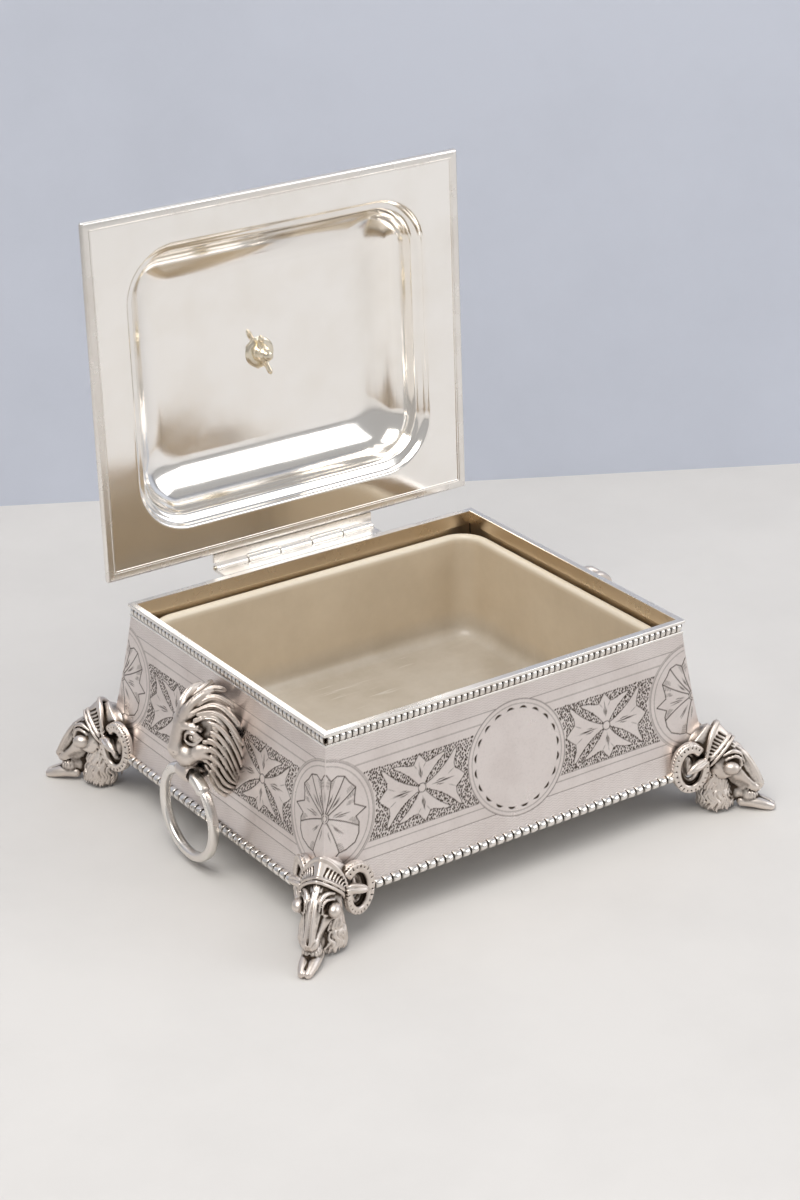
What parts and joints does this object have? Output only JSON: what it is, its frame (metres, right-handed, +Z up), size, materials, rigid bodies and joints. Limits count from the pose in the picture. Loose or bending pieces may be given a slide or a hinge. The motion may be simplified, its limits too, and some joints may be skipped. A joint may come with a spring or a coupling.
{
  "type": "sardine box",
  "caption": "Footed silver-plated sardine box with a flared engraved body, hinged lid, glass liner, ram-head feet and lion-mask ring handles.",
  "frame": {"origin": "on the ground plane, under the middle of the bounding box of the open box", "axes": "+Z up; X along the long side of the box, +X to the right as seen from the front; +Y towards the hinge, so the front faces -Y"},
  "size_m": [0.1742, 0.176, 0.1798],
  "materials": {
    "polished_silver": "polished silver plate with fine scratches",
    "engraved_silver": "silver plate, polished and engraved outside, tarnished tan inside",
    "beaded_silver": "silver plate with dark recesses",
    "cast_silver": "cast silver plate with oxidised recesses",
    "fixing_metal": "plain turned and cast metal, dulled",
    "liner_glass": "cloudy pressed glass, worn inside"
  },
  "bodies": {
    "box": {"back_wall": "engraved_silver", "base_moulding": "polished_silver", "base_plate": "polished_silver", "foot_back_left": "cast_silver", "foot_back_right": "cast_silver", "foot_front_left": "cast_silver", "foot_front_right": "cast_silver", "front_wall": "engraved_silver", "glass_liner": "liner_glass", "hinge_box_leaf": "polished_silver", "left_wall": "engraved_silver", "lion_mask_left": "cast_silver", "lion_mask_right": "cast_silver", "lower_beading_back": "beaded_silver", "lower_beading_front": "beaded_silver", "lower_beading_left": "beaded_silver", "lower_beading_right": "beaded_silver", "right_wall": "engraved_silver", "top_rim": "polished_silver", "upper_beading_back": "beaded_silver", "upper_beading_front": "beaded_silver", "upper_beading_left": "beaded_silver", "upper_beading_right": "beaded_silver"},
    "lid": {"lid_panel": "polished_silver", "lid_border": "polished_silver", "hinge_lid_leaf": "polished_silver", "hinge_pin": "fixing_metal", "knob_base": "polished_silver", "fish_knob": "cast_silver", "knob_washer": "fixing_metal", "wing_nut": "fixing_metal", "knob_stud": "fixing_metal"},
    "ring_left": {"ring_handle_left": "polished_silver"},
    "ring_right": {"ring_handle_right": "polished_silver"}
  },
  "joints": [
    {"name": "lid_hinge", "type": "hinge", "parent": "box", "child": "lid", "pos_m": [0, 0.05004, 0.0619], "axis": [1, 0, 0], "range_deg": [0, 92.3]},
    {"name": "ring_left_swing", "type": "hinge", "parent": "box", "child": "ring_left", "pos_m": [-0.0779, -0.01116, 0.0314], "axis": [0, 1, 0], "range_deg": [-4, 95]},
    {"name": "ring_right_swing", "type": "hinge", "parent": "box", "child": "ring_right", "pos_m": [0.0779, -0.01116, 0.0314], "axis": [0, -1, 0], "range_deg": [-4, 95]}
  ]
}
